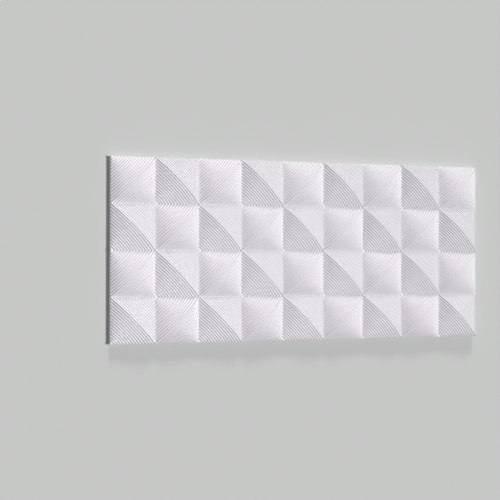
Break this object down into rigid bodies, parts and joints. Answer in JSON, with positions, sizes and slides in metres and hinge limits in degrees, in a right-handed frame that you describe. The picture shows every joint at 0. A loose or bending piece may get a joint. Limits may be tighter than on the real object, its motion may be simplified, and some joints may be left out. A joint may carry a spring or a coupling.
{
  "type": "relief wall panel",
  "caption": "White moulded wall panel with a grid of raised squares, each arched along a diagonal and finely ribbed, the diagonals alternating.",
  "frame": {"origin": "middle of the flat back face", "axes": "+Z out of the relief face, +X along the panel's length, +Y across its width; the panel lies on its back"},
  "size_m": [0.7498, 0.3332, 0.029],
  "materials": {
    "primed_foam": "matte"
  },
  "bodies": {
    "root": {"relief_panel": "primed_foam"}
  },
  "joints": []
}
